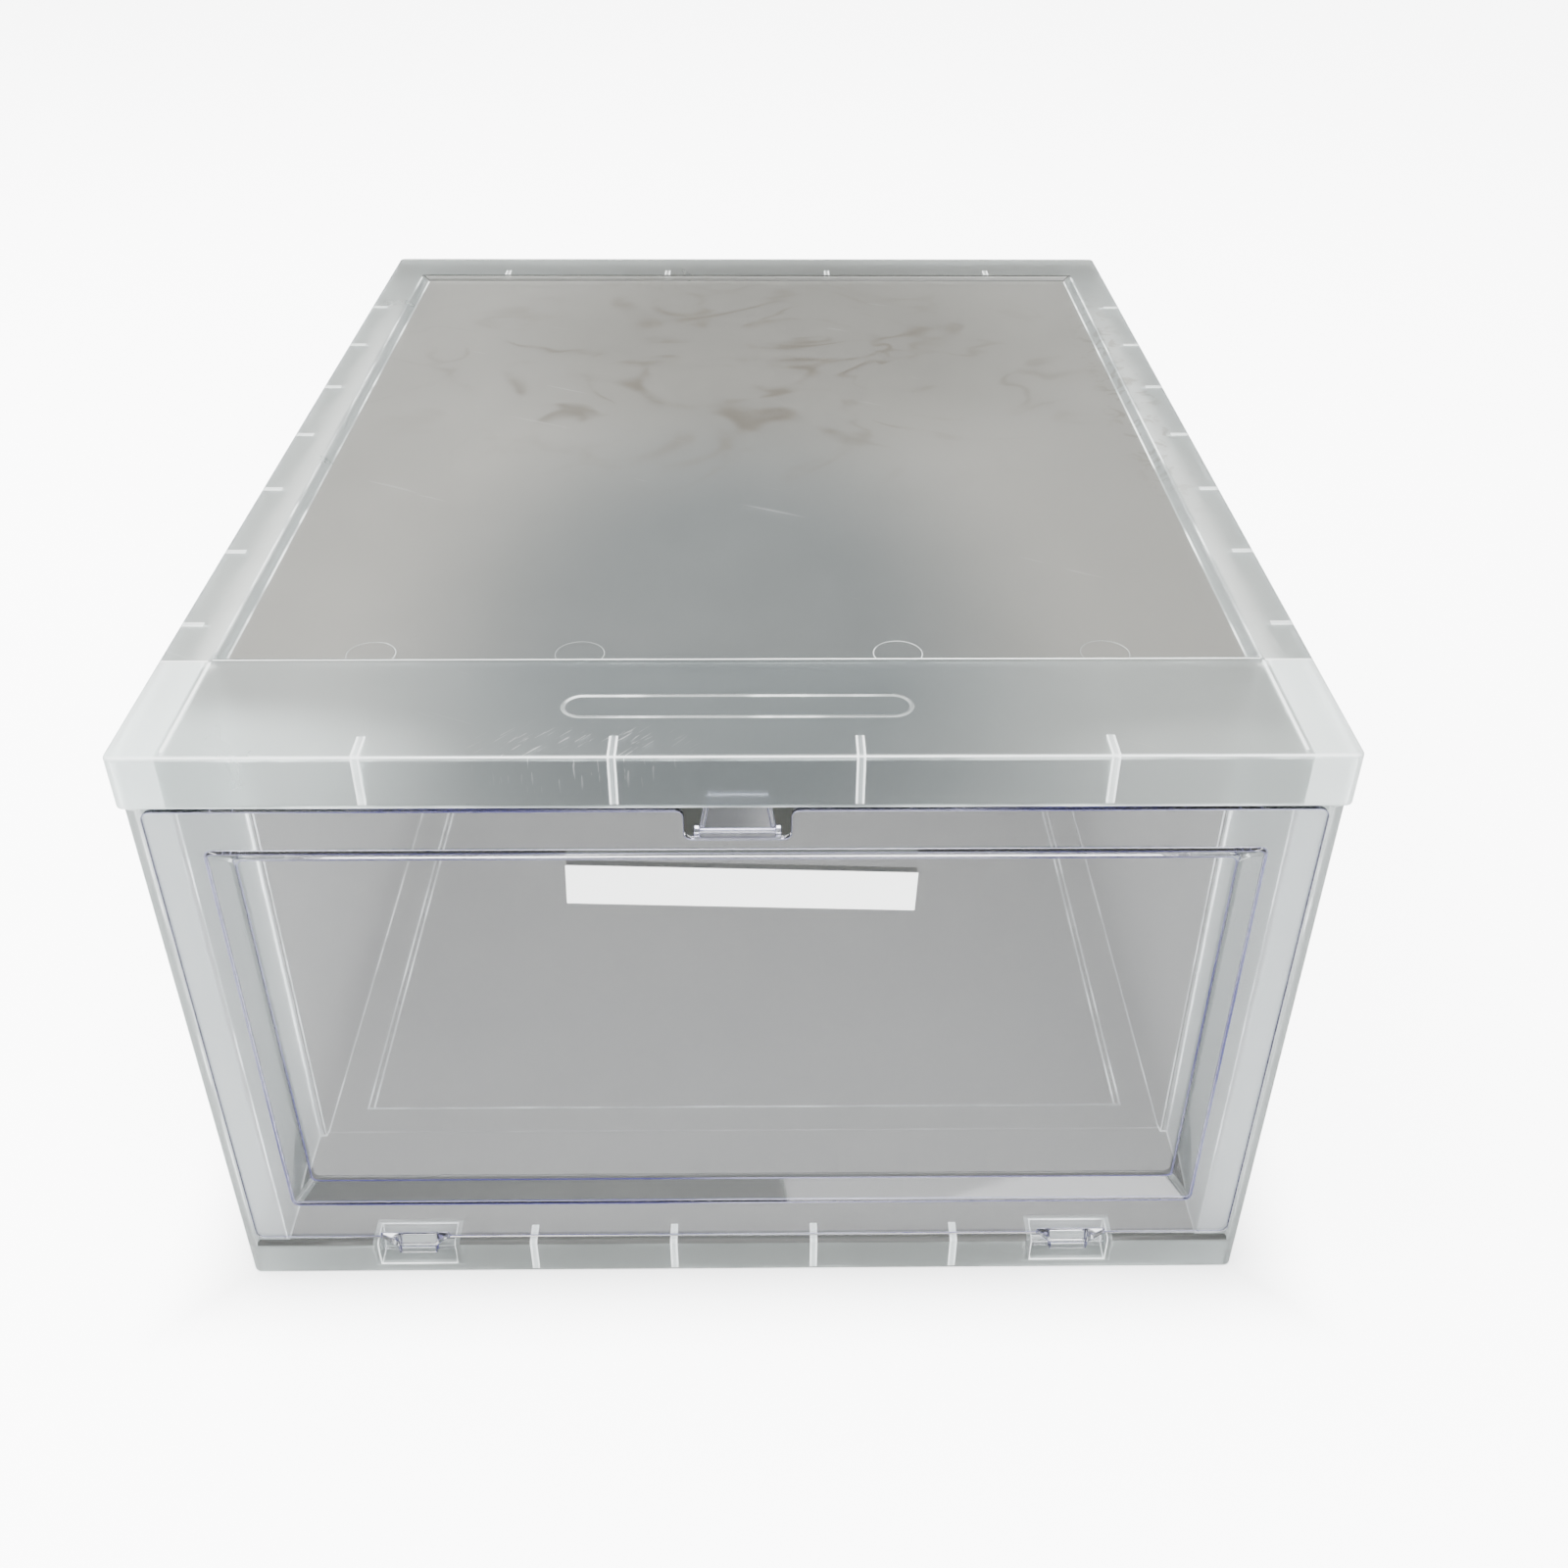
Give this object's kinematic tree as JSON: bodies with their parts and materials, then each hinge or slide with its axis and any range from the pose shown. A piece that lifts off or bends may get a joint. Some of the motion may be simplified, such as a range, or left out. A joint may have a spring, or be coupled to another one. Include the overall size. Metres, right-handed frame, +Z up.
{
  "type": "drop-front shoe box",
  "caption": "Stackable see-through shoe box: frosted tray and walls, press-fit lid, and a clear front door that drops forward on two low hinges and is held by a springy latch tongue.",
  "frame": {"origin": "middle of the footprint's box at the surface that the shoe box stands on", "axes": "+Z up, the door faces -Y, X across the width with +X to the right as seen from the front"},
  "size_m": [0.279, 0.3604, 0.1753],
  "materials": {
    "frosted_body": "frosted, translucent moulded polypropylene, fine satin grain",
    "frosted_lid": "frosted, translucent moulded polypropylene, satin, lightly scratched and stained towards the back",
    "clear_door": "clear polished polystyrene with violet-tinted edges",
    "clear_latch": "clear polished polystyrene with violet-tinted edges",
    "label_paper": "matt white paper label, blank"
  },
  "bodies": {
    "shell": {"base": "frosted_body", "lid": "frosted_lid"},
    "door": {"door": "clear_door", "label": "label_paper"},
    "latch": {"latch_tongue": "clear_latch"}
  },
  "joints": [
    {"name": "door_hinge", "type": "hinge", "parent": "shell", "child": "door", "pos_m": [0, -0.1758, 0.0082], "axis": [1, 0, 0], "range_deg": [0, 90], "deforming": ["latch_tongue"]},
    {"name": "latch_flex", "type": "hinge", "parent": "door", "child": "latch", "pos_m": [0, -0.17785, 0.1522], "axis": [-1, 0, 0], "range_deg": [0, 16], "stiffness_Nm_per_rad": 0.08}
  ]
}
